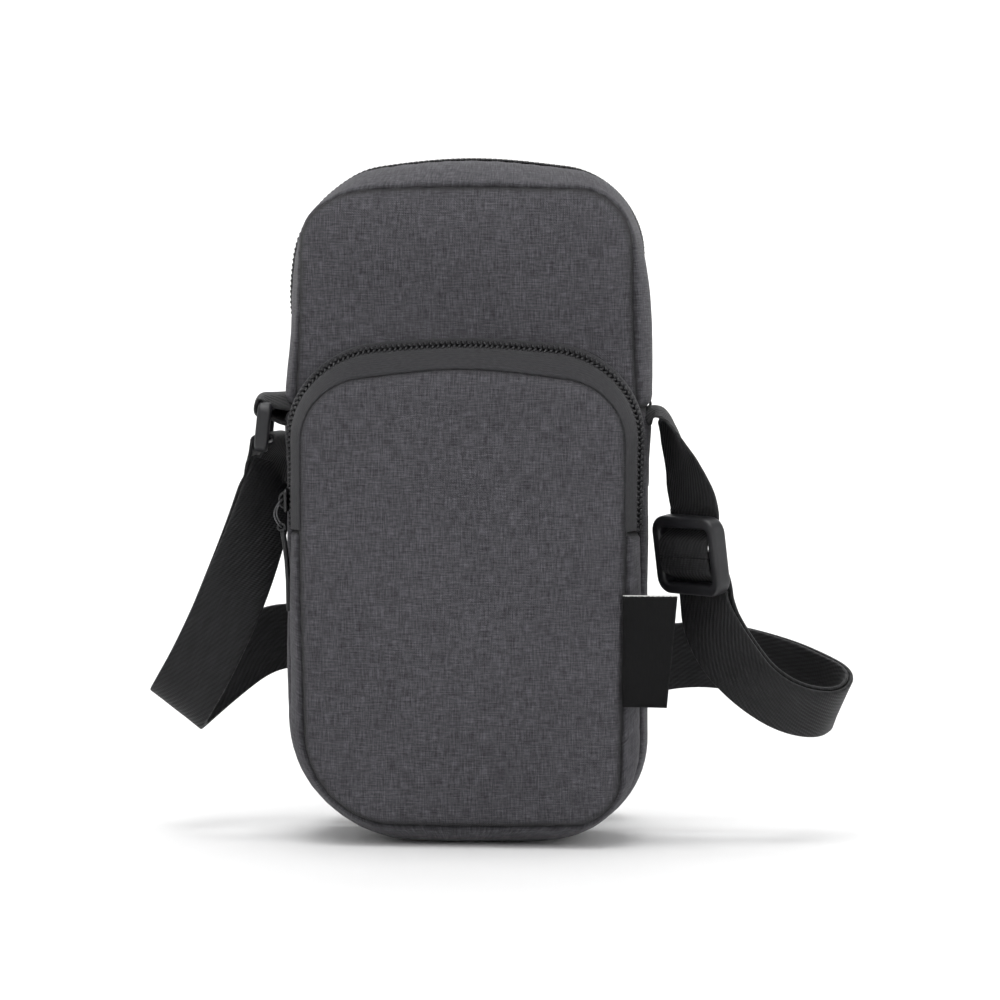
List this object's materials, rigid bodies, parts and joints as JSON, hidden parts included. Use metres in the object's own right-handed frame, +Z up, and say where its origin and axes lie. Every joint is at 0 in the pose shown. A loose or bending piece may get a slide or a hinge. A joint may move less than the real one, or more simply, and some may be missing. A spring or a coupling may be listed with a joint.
{
  "type": "phone pouch",
  "caption": "Upright padded phone pouch with an arched zip pocket, a zip round the top and a doubled adjustable webbing strap on a side ring.",
  "frame": {"origin": "on the flat base of the main compartment, midway between its sides", "axes": "+Z up along the pouch's height, the front with the pocket faces -Y, +X is to the right in the front view"},
  "size_m": [0.2146, 0.0788, 0.2045],
  "materials": {
    "cloth": "heather charcoal woven polyester with fine pale slubs",
    "zip_tape": "dark grey herringbone tape",
    "zip_coil": "satin black nylon coil",
    "zip_slider": "black lacquer on a cast slider",
    "pull_wire": "black lacquered wire",
    "puller": "black folded tape",
    "webbing": "black polyester webbing with fine lengthwise ribs",
    "strap_plastic": "satin moulded acetal",
    "label": "black woven satin label"
  },
  "bodies": {
    "pouch": {"back_panel": "cloth", "front_panel": "cloth", "lower_gusset": "cloth", "zip_gusset_front": "cloth", "zip_gusset_rear": "cloth", "pocket_panel": "cloth", "pocket_gusset": "cloth", "main_zip_tape_front": "zip_tape", "main_zip_tape_rear": "zip_tape", "pocket_zip_tape_outer": "zip_tape", "pocket_zip_tape_inner": "zip_tape", "main_zip_coil_front": "zip_coil", "main_zip_coil_rear": "zip_coil", "pocket_zip_coil_outer": "zip_coil", "pocket_zip_coil_inner": "zip_coil", "left_tab": "webbing", "strap_root": "webbing", "strap_outer_layer": "webbing", "strap_inner_layer": "webbing"},
    "main_slider": {"main_zip_slider": "zip_slider"},
    "main_loop": {"main_zip_pull_loop": "pull_wire"},
    "main_pull": {"main_zip_puller": "puller"},
    "pocket_slider": {"pocket_zip_slider": "zip_slider"},
    "pocket_loop": {"pocket_zip_pull_loop": "pull_wire"},
    "pocket_pull": {"pocket_zip_puller": "puller"},
    "ring": {"left_ring": "strap_plastic"},
    "glide": {"tri_glide": "strap_plastic"},
    "label": {"side_label": "label"}
  },
  "joints": [
    {"name": "main_slider_slide", "type": "slide", "parent": "pouch", "child": "main_slider", "axis": [0, 0, 1], "range_m": [0, 0.035]},
    {"name": "main_loop_swing", "type": "hinge", "parent": "main_slider", "child": "main_loop", "pos_m": [0.0541, 0.0145, 0.1385], "axis": [0, -1, 0], "range_deg": [0, 85]},
    {"name": "main_puller_swing", "type": "hinge", "parent": "main_loop", "child": "main_pull", "pos_m": [0.0541, 0.0145, 0.1305], "axis": [0, -1, 0], "range_deg": [0, 85]},
    {"name": "pocket_slider_slide", "type": "slide", "parent": "pouch", "child": "pocket_slider", "axis": [0, 0, 1], "range_m": [0, 0.012]},
    {"name": "pocket_loop_swing", "type": "hinge", "parent": "pocket_slider", "child": "pocket_loop", "pos_m": [-0.0546, -0.0129, 0.1025], "axis": [0, 1, 0], "range_deg": [0, 85]},
    {"name": "pocket_puller_swing", "type": "hinge", "parent": "pocket_loop", "child": "pocket_pull", "pos_m": [-0.0546, -0.0129, 0.0945], "axis": [0, 1, 0], "range_deg": [0, 85]},
    {"name": "ring_swing", "type": "hinge", "parent": "pouch", "child": "ring", "pos_m": [-0.06105, 0.0025, 0.13017], "axis": [0, 1, 0], "range_deg": [-8, 35], "deforming": ["strap_outer_layer", "strap_inner_layer"]},
    {"name": "glide_slide", "type": "slide", "parent": "pouch", "child": "glide", "axis": [-0.1077, -0.1135, 0.9877], "range_m": [-0.014, 0.003], "deforming": ["strap_root", "strap_outer_layer", "strap_inner_layer"]},
    {"name": "label_flap", "type": "hinge", "parent": "pouch", "child": "label", "pos_m": [0.0493, -0.0217, 0.0589], "axis": [0, 0, -1], "range_deg": [0, 80]}
  ]
}
